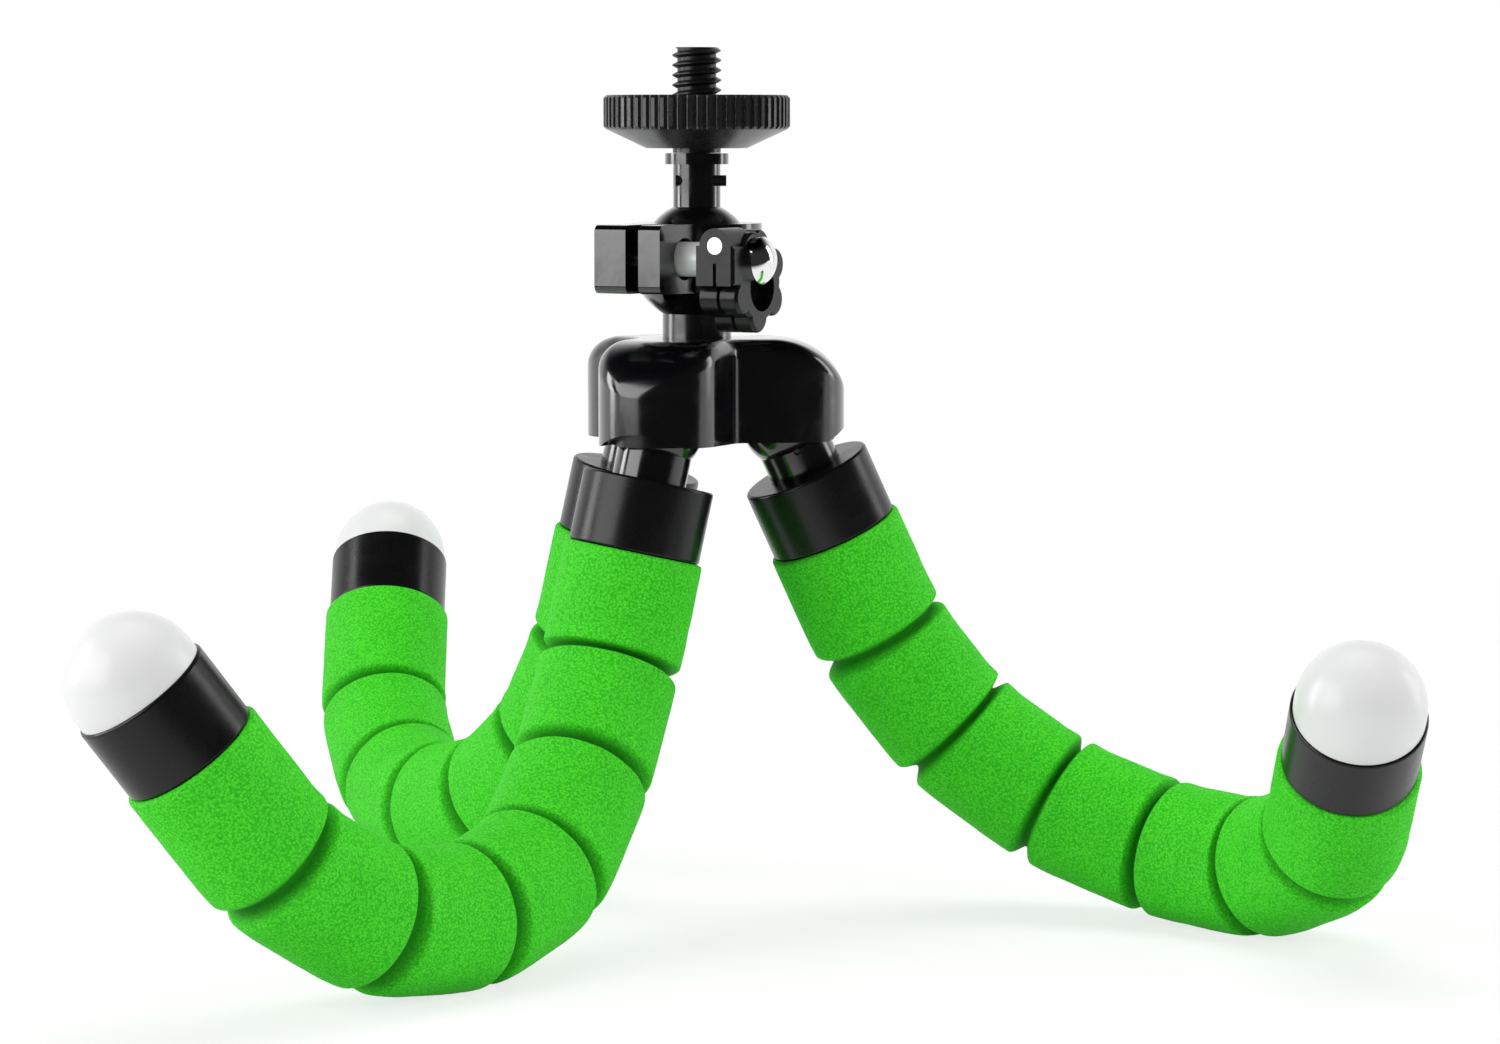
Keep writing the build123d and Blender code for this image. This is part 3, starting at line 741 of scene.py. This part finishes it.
rays = add_node(tree, "ShaderNodeLightPath")
view = mixed(tree, rays.outputs["Is Camera Ray"], room.outputs[0], sky.outputs[0])
tree.links.new(view, out.inputs["Surface"])
print("floor and world ready")

# %% [markdown]
# ## Lamps
#
# A wide soft box at the left gives the broad soft highlights on the hub and the collars. The box
# at the right and the one above only fill the shadows. Their mirror images would stand on the
# hub's right lobe and on its top, which are deep black in the picture, so they are kept out of
# reflections. Two narrow strips do the opposite: they leave only reflections, the thin upright
# lines near the edges of the collars.

# %% Lamps
AIM_HEIGHT = 0.06


def soft_lamp(name, place, width, height, power, mirrored=True, lights=True):
    """A soft rectangular lamp aimed at the middle of the object.

    One that isn't mirrored leaves no reflection, and one that doesn't light leaves nothing else.
    """
    lamp = bpy.data.lights.new(name, "AREA")
    lamp.shape = "RECTANGLE"
    lamp.size = width
    lamp.size_y = height
    lamp.energy = power
    item = bpy.data.objects.new(name, lamp)
    bpy.context.scene.collection.objects.link(item)
    item.visible_glossy = mirrored
    item.visible_diffuse = lights
    item.location = place
    aim = Vector((hub_middle.x, hub_middle.y, AIM_HEIGHT)) - Vector(place)
    item.rotation_euler = aim.to_track_quat("-Z", "Y").to_euler()
    return item


lamps = [
    soft_lamp("left_box", (-0.92, -0.53, 0.38), 0.85, 0.90, 9.0),
    soft_lamp("right_box", (1.05, -0.50, 0.60), 1.50, 1.30, 10.4, mirrored=False),
    soft_lamp("top_box", (0.0, 0.20, 1.1), 0.9, 0.6, 6.6, mirrored=False),
    soft_lamp("left_strip", (-1.05, 0.16, 0.36), 0.26, 0.80, 4.6, lights=False),
    soft_lamp("right_strip", (1.10, 0.30, 0.40), 0.30, 0.80, 2.4, lights=False),
]
print("lamps:", len(lamps), "total watts", round(sum(l.data.energy for l in lamps), 1))

# %% [markdown]
# ## Last steps
#
# The picture is shown with the plain Standard view, so a colour comes out as it is written.

# %% View
bpy.context.scene.view_settings.view_transform = "Standard"
